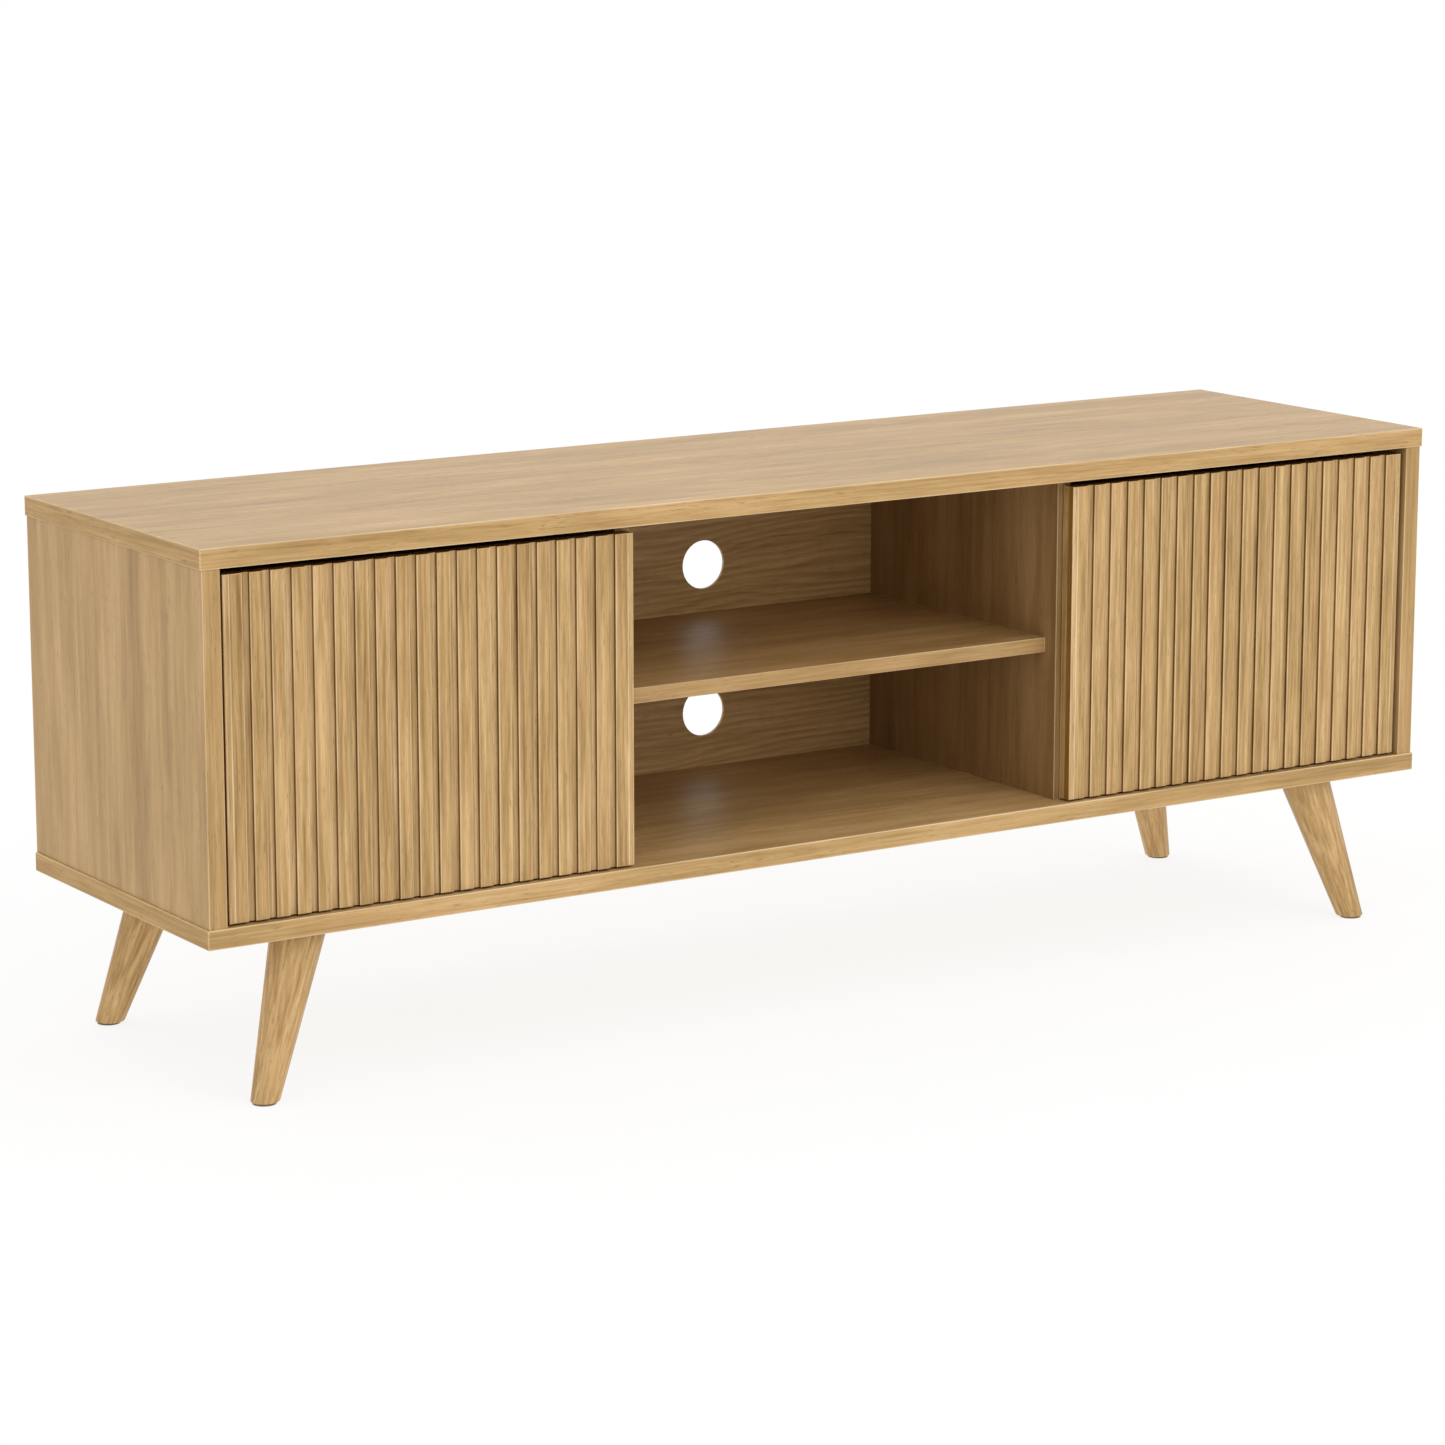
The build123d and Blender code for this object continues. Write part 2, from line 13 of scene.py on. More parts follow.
import bpy
import numpy as np
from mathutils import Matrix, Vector


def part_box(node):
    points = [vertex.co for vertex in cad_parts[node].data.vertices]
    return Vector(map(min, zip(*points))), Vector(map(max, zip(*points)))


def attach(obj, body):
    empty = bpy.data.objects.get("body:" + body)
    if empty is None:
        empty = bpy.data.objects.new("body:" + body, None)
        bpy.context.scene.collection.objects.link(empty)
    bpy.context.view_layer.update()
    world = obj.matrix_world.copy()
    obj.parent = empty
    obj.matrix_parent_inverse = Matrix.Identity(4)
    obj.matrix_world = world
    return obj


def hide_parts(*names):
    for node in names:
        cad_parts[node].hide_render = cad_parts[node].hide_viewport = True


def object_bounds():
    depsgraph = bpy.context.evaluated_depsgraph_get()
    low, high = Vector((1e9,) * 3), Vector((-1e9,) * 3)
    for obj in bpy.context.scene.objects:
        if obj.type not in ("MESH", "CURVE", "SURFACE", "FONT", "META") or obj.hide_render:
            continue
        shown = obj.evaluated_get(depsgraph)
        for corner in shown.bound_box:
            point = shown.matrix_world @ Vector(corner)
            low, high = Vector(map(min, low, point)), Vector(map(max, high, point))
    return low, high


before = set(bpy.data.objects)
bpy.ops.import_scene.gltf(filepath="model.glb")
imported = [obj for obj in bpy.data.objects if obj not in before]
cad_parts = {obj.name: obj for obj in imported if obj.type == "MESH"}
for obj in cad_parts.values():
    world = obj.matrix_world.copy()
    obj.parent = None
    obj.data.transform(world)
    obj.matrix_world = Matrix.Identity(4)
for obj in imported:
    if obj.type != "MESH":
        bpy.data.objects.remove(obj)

CAD_BOX = [list(corner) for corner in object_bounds()]
MM = 0.001
SIDES = ("left", "right")
ENDS = ("front", "back")
LEVELS = ("lower", "upper")

Colour = tuple[float, float, float]
Socket = bpy.types.NodeSocket
Value = Socket | float | Sequence[float]

DOOR_CUT = Vector((3.3, 0.71, 1.9))

log = logging.getLogger("media_cabinet")


class Axis(Enum):
    """A direction in a piece's own coordinates, and its place in a vector."""

    X = 0
    Y = 1
    Z = 2

    def first(self) -> tuple[int, int, int]:
        """The three places of a vector with this axis put first."""
        return {0: (0, 1, 2), 1: (1, 0, 2), 2: (2, 0, 1)}[self.value]


def tone(code: str) -> Colour:
    """The linear colour that a six-digit display code stands for.

    Args:
        code: Red, green and blue, two hexadecimal digits each.

    Returns:
        Each channel as ((c + 0.055) / 1.055) to the power 2.4, or c / 12.92 where it is nearly black.
    """
    channels = [int(code[place:place + 2], 16) / 255 for place in (0, 2, 4)]
    return tuple(c / 12.92 if c <= 0.04045 else ((c + 0.055) / 1.055) ** 2.4 for c in channels)


# ---- node trees -------------------------------------------------------------------------------


class Graph:
    """The node tree of one material, with a short method for each kind of node that the finishes need."""

    def __init__(self, name: str) -> None:
        """Start a material with a Principled shader on its surface.

        Args:
            name: Name of the material.
        """
        self.material = bpy.data.materials.new(name)
        self.material.use_nodes = True
        self.tree = self.material.node_tree
        self.tree.nodes.clear()
        self.shader = self.node("ShaderNodeBsdfPrincipled")
        output = self.node("ShaderNodeOutputMaterial")
        self.tree.links.new(self.shader.outputs["BSDF"], output.inputs["Surface"])

    def node(self, kind: str, **settings: object) -> bpy.types.Node:
        """Add a node and set its options.

        Args:
            kind: Blender's name for the kind of node.
            settings: Options of the node, by attribute name.

        Returns:
            The new node.
        """
        made = self.tree.nodes.new(kind)
        for key, value in settings.items():
            setattr(made, key, value)
        return made

    def plug(self, socket: Socket, value: Value) -> None:
        """Link an input to another node's output, or set its constant.

        Args:
            socket: The input.
            value: An output to link, a number, or a vector or colour.
        """
        if isinstance(value, bpy.types.NodeSocket):
            self.tree.links.new(value, socket)
        elif isinstance(value, (int, float)):
            socket.default_value = value
        else:
            wanted = len(socket.default_value)
            socket.default_value = (*value, 1.0)[:wanted]

    def math(self, operation: str, *values: Value) -> Socket:
        """Work out one number from up to three.

        Args:
            operation: Name of the Math node's operation.
            values: Its inputs in order.

        Returns:
            The result's output.
        """
        made = self.node("ShaderNodeMath", operation=operation)
        for socket, value in zip(made.inputs, values):
            self.plug(socket, value)
        return made.outputs["Value"]

    def vector(self, operation: str, *values: Value) -> Socket:
        """Work out one vector from one or two.

        Args:
            operation: Name of the Vector Math node's operation.
            values: Its inputs in order.

        Returns:
            The result's output.
        """
        made = self.node("ShaderNodeVectorMath", operation=operation)
        for socket, value in zip(made.inputs, values):
            self.plug(socket, value)
        return made.outputs["Vector"]

    def split(self, vector: Socket) -> tuple[Socket, Socket, Socket]:
        """Take a vector apart.

        Args:
            vector: The vector.

        Returns:
            Its three numbers.
        """
        made = self.node("ShaderNodeSeparateXYZ")
        self.plug(made.inputs["Vector"], vector)
        return made.outputs["X"], made.outputs["Y"], made.outputs["Z"]

    def join(self, x: Value, y: Value, z: Value) -> Socket:
        """Make a vector of three numbers.

        Args:
            x, y, z: The numbers.

        Returns:
            The vector.
        """
        made = self.node("ShaderNodeCombineXYZ")
        for socket, value in zip(made.inputs, (x, y, z)):
            self.plug(socket, value)
        return made.outputs["Vector"]

    def noise(self, vector: Socket, stretch: Sequence[float], detail: float = 2.0,
              roughness: float = 0.5, distortion: float = 0.0) -> Socket:
        """Noise whose blobs are stretched, as wood fibres are.

        Args:
            vector: Where it is read, in metres.
            stretch: Blobs in a metre, along each of the vector's three directions.
            detail: How many finer layers it has.
            roughness: How strong the finer layers are.
            distortion: How far the blobs are bent.

        Returns:
            A value about one half, from 0 to 1.
        """
        scaled = self.vector("MULTIPLY", vector, stretch)
        made = self.node("ShaderNodeTexNoise", noise_dimensions="3D")
        self.plug(made.inputs["Vector"], scaled)
        settings = {"Scale": 1.0, "Detail": detail, "Roughness": roughness, "Distortion": distortion}
        for key, value in settings.items():
            self.plug(made.inputs[key], value)
        return made.outputs[0]

    def even_noise(self, vector: Socket, stretch: Sequence[float], detail: float, roughness: float) -> Socket:
        """Stretched noise whose values are spread evenly from 0 to 1; its arguments are those of noise."""
        return self.span(self.noise(vector, stretch, detail, roughness), 0.3, 0.7, smooth=False)

    def chance(self, number: Socket) -> Socket:
        """Draw a value that stays the same for the same number.

        Args:
            number: What the value belongs to.

        Returns:
            The value, from 0 to 1.
        """
        made = self.node("ShaderNodeTexWhiteNoise", noise_dimensions="1D")
        self.plug(made.inputs["W"], number)
        return made.outputs["Value"]

    def span(self, value: Socket, low: float, high: float, start: float = 0.0, end: float = 1.0,
             smooth: bool = True) -> Socket:
        """Move a value from one span of numbers to another, held at its ends.

        Args:
            value: What is moved.
            low: Value that becomes start.
            high: Value that becomes end.
            start: Lowest result.
            end: Highest result.
            smooth: Ease in and out in place of a straight change.

        Returns:
            The moved value.
        """
        kind = "SMOOTHSTEP" if smooth else "LINEAR"
        made = self.node("ShaderNodeMapRange", interpolation_type=kind, clamp=True)
        for socket, number in zip(made.inputs, (value, low, high, start, end)):
            self.plug(socket, number)
        return made.outputs["Result"]

    def ramp(self, factor: Socket, stops: Sequence[Colour]) -> Socket:
        """A colour that passes through evenly spaced stops as a factor goes from 0 to 1.

        Args:
            factor: Place on the ramp.
            stops: The colours, first to last.

        Returns:
            The colour.
        """
        made = self.node("ShaderNodeValToRGB")
        points = made.color_ramp.elements
        while len(points) < len(stops):
            points.new(0.5)
        for place, (point, colour) in enumerate(zip(points, stops)):
            point.position = place / (len(stops) - 1)
            point.color = (*colour, 1.0)
        self.plug(made.inputs["Fac"], factor)
        return made.outputs["Color"]

    def mix(self, factor: Value, first: Value, second: Value, blend: str = "MIX") -> Socket:
        """Mix two colours.

        Args:
            factor: Share of the second one.
            first: Colour underneath.
            second: Colour on top.
            blend: How the second is laid on the first.

        Returns:
            The mixed colour.
        """
        made = self.node("ShaderNodeMix", data_type="RGBA", blend_type=blend)
        for socket, value in zip((made.inputs[0], made.inputs[6], made.inputs[7]), (factor, first, second)):
            self.plug(socket, value)
        return made.outputs[2]

    def mix_vector(self, factor: Socket, first: Socket, second: Socket) -> Socket:
        """Mix two vectors.

        Args:
            factor: Share of the second one.
            first, second: The vectors.

        Returns:
            The mixed vector.
        """
        made = self.node("ShaderNodeMix", data_type="VECTOR")
        for socket, value in zip((made.inputs[0], made.inputs[4], made.inputs[5]), (factor, first, second)):
            self.plug(socket, value)
        return made.outputs[1]

    def bump(self, height: Socket, depth: float, strength: float = 1.0) -> None:
        """Tilt the surface by a height map.

        Args:
            height: Height from 0 to 1.
            depth: Height of 1, in metres.
            strength: Share of the tilt that is used.
        """
        made = self.node("ShaderNodeBump")
        for key, value in (("Height", height), ("Distance", depth), ("Strength", strength)):
            self.plug(made.inputs[key], value)
        self.plug(self.shader.inputs["Normal"], made.outputs["Normal"])

    def place(self) -> Socket:
        """Where a point is, in the piece's own coordinates."""
        return self.node("ShaderNodeTexCoord").outputs["Object"]

    def facing(self) -> Socket:
        """Which way the surface faces, in the piece's own coordinates."""
        return self.node("ShaderNodeTexCoord").outputs["Normal"]

    def attribute(self, name: str) -> Socket:
        """A vector that the mesh carries under that name."""
        return self.node("ShaderNodeAttribute", attribute_name=name).outputs["Vector"]


# ---- finishes ---------------------------------------------------------------------------------


@dataclass(frozen=True)
class Figure:
    """How the growth lines of a piece of oak run.

    Attributes:
        lines: Growth lines in a metre across the fibres, before they wander.
        swing: How many lines' width they wander; a wide swing makes flames and closed ovals.
        length: Length of one flame, in metres.
        width: Width of one flame, in metres.
        strength: How dark the lines are.
    """

    lines: float
    swing: float
    length: float
    width: float
    strength: float


STRAIGHT = Figure(lines=45.0, swing=7.0, length=0.45, width=0.14, strength=0.07)
FLAMED = Figure(lines=22.0, swing=11.0, length=0.6, width=0.12, strength=0.1)
WAVY = Figure(lines=130.0, swing=8.0, length=0.32, width=0.1, strength=0.24)
NARROW = Figure(lines=150.0, swing=4.0, length=0.35, width=0.05, strength=0.18)
TURNED = Figure(lines=120.0, swing=4.0, length=0.25, width=0.04, strength=0.22)

# Blobs in a metre of each texture of the wood, along the fibres and in the two directions across them.
WANDER_SIZE = (6.0, 60.0, 60.0)
DRIFT_SIZE = (3.0, 26.0, 26.0)
FINE_SIZE = (20.0, 480.0, 480.0)
BLUSH_SIZE = (3.0, 26.0, 26.0)
PORE_SIZE = (70.0, 1250.0, 1250.0)
WANDER = 1.6
BLUSH = (1.02, 0.965, 0.975)
PORE_SHARE = 0.5
LACQUER_SPECULAR = 0.2
RELIEF_DEPTH = 0.09 * MM

# Powers of a brightness that tint red, green and blue, so that the painted shade of a lower depth and of a
# shaded part is also warmer.
DEPTH_POWERS = (1.0, 1.15, 1.3)
SHADE_POWERS = (0.75, 1.0, 1.9)


@dataclass(frozen=True)
class Oak:
    """Light oak with a satin lacquer: growth lines, fibre streaks, pores, drifting colour, and pale arrises
    that are a painted highlight and rubbed lacquer.

    Attributes:
        fibre: Way that the fibres run.
        figure: How the growth lines run.
        band: Way that the fibres run on the edge bands, if it is another one.
        band_faces: Axis that the edge bands face along.
        pale, middle, deep: The three tones between which the wood varies.
        pore: Tone of the open pores.
        worn_highlight: Tone of the pale arrises, a painted highlight on thin, rubbed lacquer.
        wear_highlight_width: How far the pale arris reaches from the edge.
        wear_highlight: How strong it is.
        depth: Brightness of the whole piece; below 1 it is a painted shade for a piece that gets less light.
        streaks: How strong the fibre streaks are.
        streak_size: Fibre streaks in a metre, along the fibres and in the two directions across them.
        fines: How strong the fine fibres are.
        drift: How strong the broad patches are.
        roughness: Gloss of the lacquer between the pores.
        painted_band_shade: Brightness of the edge bands on the ends against the faces, a painted shade.
        joined: Axis at whose ends the piece meets its neighbours, if a painted shadow line is laid there.
        joint_shadow: Brightness of that painted shadow line.
        joint_width: Its width.
    """

    fibre: Axis
    figure: Figure = STRAIGHT
    band: Axis | None = None
    band_faces: Axis | None = None
    pale: str = "DAB985"
    middle: str = "BA9763"
    deep: str = "8C6A3A"
    pore: str = "6B4A27"
    worn_highlight: str = "F3DCB6"
    wear_highlight_width: float = 1.1 * MM
    wear_highlight: float = 0.75
    depth: float = 1.0
    streaks: float = 0.34
    streak_size: tuple[float, float, float] = (5.5, 95.0, 95.0)
    fines: float = 0.2
    drift: float = 0.3
    roughness: float = 0.38
    painted_band_shade: float = 0.82
    joined: Axis | None = None
    joint_shadow: float = 0.5
    joint_width: float = 1.5 * MM

    def fibre_place(self, graph: Graph, place: Socket) -> Socket:
        """Turn a place so that its first number runs along the fibres.

        Args:
            graph: The material's tree.
            place: Where the point is, in the piece's own coordinates.

        Returns:
            The turned place, which follows the edge bands where they differ.
        """
        parts = graph.split(place)
        turned = graph.join(*(parts[k] for k in self.fibre.first()))
        if self.band is None or self.band_faces is None:
            return turned
        banded = graph.join(*(parts[k] for k in self.band.first()))
        faces = graph.math("ABSOLUTE", graph.split(graph.facing())[self.band_faces.value])
        return graph.mix_vector(graph.math("GREATER_THAN", faces, 0.6), turned, banded)

    def arris(self, graph: Graph, place: Socket, box: tuple[Vector, Vector]) -> Socket:
        """How near a point of a board's surface is to one of its twelve edges.

        A point's distances to the nearest face along X, Y and Z are sorted. On the surface the least one is
        zero, and the middle one is the distance to the nearest edge.

        Args:
            graph: The material's tree.
            place: Where the point is.
            box: Lowest and highest corner of the board.

        Returns:
            1 on an edge, falling to 0 at the width of the pale arris (a painted highlight and rubbed lacquer).
        """
        low, high = box
        from_middle = graph.vector("ABSOLUTE", graph.vector("SUBTRACT", place, tuple((low + high) / 2)))
        x, y, z = graph.split(graph.vector("SUBTRACT", tuple((high - low) / 2), from_middle))
        least = graph.math("MINIMUM", x, graph.math("MINIMUM", y, z))
        most = graph.math("MAXIMUM", x, graph.math("MAXIMUM", y, z))
        total = graph.math("ADD", x, graph.math("ADD", y, z))
        middle = graph.math("SUBTRACT", graph.math("SUBTRACT", total, least), most)
        return graph.span(middle, 0.0, self.wear_highlight_width, 1.0, 0.0)

    def dress(self, graph: Graph, wood: Socket, arris: Socket | None, shade: Socket | None = None,
              shift: Socket | None = None) -> None:
        """Lay the wood on the shader.

        Growth lines are the contour lines of a stretched noise added to a steady climb across the fibres, so
        they run straight where the climb wins and close into flames where the noise wins. Each line darkens
        slowly and ends sharply. Fibre streaks, fine fibres and a broad drift are added, and pores are short
        dark dashes that are densest at the start of each line.

        Args:
            graph: The material's tree.
            wood: Place in the wood, its first number along the fibres.
            arris: Share of pale arris, a painted highlight and rubbed lacquer, from 0 to 1, if the piece has
                one.
            shade: Factor on the colour's brightness where parts of the piece carry painted shade or painted
                light, if any.
            shift: Number added to the tone, if it differs from strip to strip.
        """
        lines = self.figure
        _, across, through = graph.split(wood)
        swing = graph.noise(wood, (1 / lines.length, 1 / lines.width, 1 / lines.width), 2.5, 0.45)
        wander = graph.noise(wood, WANDER_SIZE, 3.0, 0.55)
        climb = graph.math("MULTIPLY", graph.math("ADD", across, through), lines.lines)
        phase = graph.math("MULTIPLY_ADD", swing, lines.swing, climb)
        phase = graph.math("MULTIPLY_ADD", wander, WANDER, phase)
        turn = graph.math("FRACT", phase)
        ring = graph.math("MULTIPLY", graph.span(turn, 0.0, 0.72), graph.span(turn, 0.74, 1.0, 1.0, 0.0))

        drift = graph.even_noise(wood, DRIFT_SIZE, 3.0, 0.55)
        streak = graph.even_noise(wood, self.streak_size, 4.0, 0.6)
        fine = graph.even_noise(wood, FINE_SIZE, 2.0, 0.6)
        strengths = self.drift + self.streaks + self.fines - lines.strength
        level = graph.math("MULTIPLY_ADD", ring, -lines.strength, 0.5 - 0.5 * strengths)
        level = graph.math("MULTIPLY_ADD", drift, self.drift, level)
        level = graph.math("MULTIPLY_ADD", streak, self.streaks, level)
        level = graph.math("MULTIPLY_ADD", fine, self.fines, level)
        if shift is not None:
            level = graph.math("ADD", level, shift)
        colour = graph.ramp(level, (tone(self.deep), tone(self.middle), tone(self.pale)))

        blush = graph.noise(wood, BLUSH_SIZE, 1.0, 0.5)
        colour = graph.mix(graph.span(blush, 0.42, 0.68, 0.0, 0.45), colour, BLUSH, "MULTIPLY")
        # Painted shade: a depth below 1 darkens the whole piece.
        if self.depth < 1:
            colour = graph.mix(1.0, colour, [self.depth ** power for power in DEPTH_POWERS], "MULTIPLY")
        dash = graph.noise(wood, PORE_SIZE, 1.0, 0.5)
        open_wood = graph.span(turn, 0.0, 0.55, 1.0, 0.35)
        pore = graph.math("MULTIPLY", graph.span(dash, 0.6, 0.7), open_wood)
        colour = graph.mix(graph.math("MULTIPLY", pore, PORE_SHARE), colour, tone(self.pore))
        # Pale arrises: a painted highlight where the edges catch the light, and rubbed lacquer.
        if arris is not None:
            rubbed = graph.math("MULTIPLY", arris, graph.span(streak, 0.1, 0.8, 0.5 * self.wear_highlight, self.wear_highlight))
            colour = graph.mix(rubbed, colour, tone(self.worn_highlight))
        # Painted shade and painted light: the parts of the piece that shade darkens or brightens.
        if shade is not None:
            tint = graph.join(*(graph.math("POWER", shade, power) for power in SHADE_POWERS))
            colour = graph.mix(1.0, colour, tint, "MULTIPLY")

        graph.plug(graph.shader.inputs["Base Color"], colour)
        gloss = graph.math("MULTIPLY_ADD", pore, 0.18, self.roughness - 0.05)
        gloss = graph.math("MULTIPLY_ADD", streak, 0.08, gloss)
        graph.plug(graph.shader.inputs["Roughness"], gloss)
        graph.plug(graph.shader.inputs["Specular IOR Level"], LACQUER_SPECULAR)
        relief = graph.math("MULTIPLY_ADD", pore, -0.8, graph.math("MULTIPLY", fine, 0.35))
        graph.bump(relief, RELIEF_DEPTH, 0.6)

    def board(self, name: str, box: tuple[Vector, Vector], cut: Vector) -> bpy.types.Material:
        """The material of one board.

        Args:
            name: Name of the board.
            box: Its lowest and highest corner.
            cut: Where in the tree it was cut, so that no two boards look the same.

        Returns:
            The material.
        """
        graph = Graph(f"{name}_oak")
        place = graph.place()
        wood = graph.vector("ADD", self.fibre_place(graph, place), tuple(cut))
        self.dress(graph, wood, self.arris(graph, place, box), self.part_shade(graph, place, box))
        return graph.material

    def part_shade(self, graph: Graph, place: Socket, box: tuple[Vector, Vector]) -> Socket | None:
        """Painted shade on the end bands, and a painted shadow line near the ends at which the piece meets its
        neighbours.

        Args:
            graph: The material's tree.
            place: Where the point is.
            box: Lowest and highest corner of the piece.

        Returns:
            painted_band_shade on end bands, or joint_shadow at joined ends, rising to 1 away from them. None
            if the piece has neither.
        """
        # Painted shade on the end bands.
        if self.band_faces is not None:
            faces = graph.math("ABSOLUTE", graph.split(graph.facing())[self.band_faces.value])
            return graph.span(faces, 0.5, 0.7, 1.0, self.painted_band_shade)
        if self.joined is None:
            return None
        # Painted shadow line at the ends where the piece meets its neighbours.
        low, high = (corner[self.joined.value] for corner in box)
        reach = graph.split(place)[self.joined.value]
        from_middle = graph.math("ABSOLUTE", graph.math("SUBTRACT", reach, (low + high) / 2))
        half = (high - low) / 2
        return graph.span(from_middle, half - self.joint_width, half, 1.0, self.joint_shadow)

    def turned(self, name: str, attribute: str, cut: Vector) -> bpy.types.Material:
        """The material of a turned piece, whose mesh carries its place along and across its own axis.

        Args:
            name: Name of the piece.
            attribute: Name of that vector.
            cut: Where in the tree it was cut.

        Returns:
            The material.
        """
        graph = Graph(f"{name}_oak")
        along = graph.attribute(attribute)
        wood = graph.vector("ADD", self.fibre_place(graph, along), tuple(cut))
        self.dress(graph, wood, None)
        return graph.material


@dataclass(frozen=True)
class SlattedOak(Oak):
    """Oak on a slatted door: each slat has its own cut and tone, and the grooves between them carry painted
    light on their floors and painted shade on their walls.

    Attributes:
        pitch: From one groove to the next.
        groove_width: Width of a groove.
        groove_painted_light: Brightness of a groove's floor, raised as painted light against the shade in the
            groove.
        wall_painted_shade: Brightness of its walls, a painted shade.
        top_painted_shadow: Brightness of the door's top edge, a painted shadow so dark that the gap over the
            door is black.
        slat_drift: How much the slats' tones differ.
        slat_offset: How far apart in the tree two slats were cut at most.
        arris_middle: From a groove's wall to the middle of the slat's pale arris, a painted highlight and
            rubbed lacquer.
        arris_fade: Distances from that middle between which the pale arris fades out.
        face_fade: Depths behind the door's face between which the pale arris fades out.
        arris_depth: Depth behind the face past which a groove's wall gets its painted shade, and the door's
            top edge its painted shadow.
        floor_margin: What is left out of a groove's floor beside each wall.
    """

    pitch: float = 20.9 * MM
    groove_width: float = 7.5 * MM
    groove_painted_light: float = 1.1
    wall_painted_shade: float = 0.34
    top_painted_shadow: float = 0.2
    slat_drift: float = 0.14
    slat_offset: float = 18.0
    arris_middle: float = 0.3 * MM
    arris_fade: tuple[float, float] = (0.2 * MM, 0.9 * MM)
    face_fade: tuple[float, float] = (0.9 * MM, 1.6 * MM)
    arris_depth: float = 0.8 * MM
    floor_margin: float = 0.05 * MM

    def door(self, name: str, box: tuple[Vector, Vector], cut: Vector) -> bpy.types.Material:
        """The material of one door.

        The grooves lie evenly about the door's middle, one of them on it. So the distance to the nearest
        groove's middle is how far the place over the pitch is from a whole number, times the pitch.

        Args:
            name: Name of the door.
            box: Its lowest and highest corner.
            cut: Where in the tree it was cut.

        Returns:
            The material.
        """
        graph = Graph(f"{name}_oak")
        place = graph.place()
        x, y, _ = graph.split(place)
        face = box[0].y
        half_groove = self.groove_width / 2
        middle = (box[0].x + box[1].x) / 2
        count = graph.math("DIVIDE", graph.math("SUBTRACT", x, middle), self.pitch)
        slat = graph.math("FLOOR", count)
        from_groove = graph.math("MULTIPLY", graph.math("PINGPONG", count, 0.5), self.pitch)
        # The pale slat arris beside each groove: a painted highlight and rubbed lacquer.
        from_arris = graph.math("SUBTRACT", from_groove, half_groove + self.arris_middle)
        edge = graph.span(graph.math("ABSOLUTE", from_arris), *self.arris_fade, 1.0, 0.0)
        front = graph.span(y, *(face + depth for depth in self.face_fade), 1.0, 0.0)
        arris = graph.math("MAXIMUM", graph.math("MULTIPLY", edge, front), self.arris(graph, place, box))
        before_back = graph.math("LESS_THAN", y, (face + box[1].y) / 2)
        within = graph.math("LESS_THAN", from_groove, half_groove - self.floor_margin)
        groove = graph.math("MULTIPLY", within, before_back)
        # Painted light on the groove floors, against the shade in the grooves.
        shade = graph.math("MULTIPLY_ADD", groove, self.groove_painted_light - 1, 1.0)
        # Painted shade on the groove walls.
        sideways, _, upward = graph.split(graph.vector("ABSOLUTE", graph.facing()))
        near_wall = graph.math("LESS_THAN", from_groove, half_groove + self.arris_middle)
        wall = graph.math("MULTIPLY", graph.math("GREATER_THAN", sideways, 0.9), near_wall)
        behind_arris = graph.math("GREATER_THAN", y, face + self.arris_depth)
        wall = graph.math("MULTIPLY", wall, graph.math("MULTIPLY", behind_arris, before_back))
        shade = graph.math("MULTIPLY", shade, graph.math("MULTIPLY_ADD", wall, self.wall_painted_shade - 1, 1.0))
        # Painted shadow on the door's top edge, so that the gap over the door is black.
        top = graph.math("MULTIPLY", graph.math("GREATER_THAN", upward, 0.9), behind_arris)
        shade = graph.math("MULTIPLY", shade, graph.math("MULTIPLY_ADD", top, self.top_painted_shadow - 1, 1.0))
        own = graph.math("MULTIPLY", graph.chance(slat), before_back)
        shift = graph.math("MULTIPLY_ADD", own, self.slat_drift, -0.5 * self.slat_drift)
        wood = graph.vector("ADD", self.fibre_place(graph, place), tuple(cut))
        offset = graph.math("MULTIPLY", own, self.slat_offset)
        wood = graph.vector("ADD", wood, graph.join(offset, 0.0, offset))
        self.dress(graph, wood, arris, shade, shift)
        return graph.material


@dataclass(frozen=True)
class Metal:
    """Plated or cast metal, with fine scratches and patches that have been handled.

    Attributes:
        pale, dull: The two tones between which it varies.
        roughness: Gloss of the clean surface.
        scratches: How deep the scratches look, from 0 to 1.
        grain: Size of its surface texture, in blobs a metre.
    """

    pale: str
    dull: str
    roughness: float = 0.3
    scratches: float = 0.5
    grain: float = 900.0

    def material(self, name: str) -> bpy.types.Material:
        """Make the metal.

        Args:
            name: Name of the material.

        Returns:
            The material.
        """
        graph = Graph(name)
        place = graph.place()
        patches = graph.noise(place, (60.0, 60.0, 60.0), 3.0, 0.6)
        grain = graph.noise(place, (self.grain,) * 3, 3.0, 0.65)
        rubbed = graph.noise(place, (90.0, 2400.0, 2400.0), 2.0, 0.5, 0.3)
        crossed = graph.noise(place, (2200.0, 2200.0, 120.0), 2.0, 0.5, 0.3)
        lines = graph.math("MAXIMUM", graph.span(rubbed, 0.62, 0.72), graph.span(crossed, 0.64, 0.74))
        level = graph.math("MULTIPLY_ADD", grain, 0.4, graph.math("MULTIPLY", patches, 0.6))
        colour = graph.ramp(graph.span(level, 0.3, 0.7), (tone(self.dull), tone(self.pale)))
        graph.plug(graph.shader.inputs["Base Color"], colour)
        graph.plug(graph.shader.inputs["Metallic"], 1.0)
        gloss = graph.math("MULTIPLY_ADD", patches, 0.22, self.roughness - 0.11)
        gloss = graph.math("MULTIPLY_ADD", lines, 0.12 * self.scratches, gloss)
        graph.plug(graph.shader.inputs["Roughness"], gloss)
        relief = graph.math("MULTIPLY_ADD", lines, -self.scratches, graph.math("MULTIPLY", grain, 0.5))
        graph.bump(relief, 0.02 * MM, 0.5)
        return graph.material


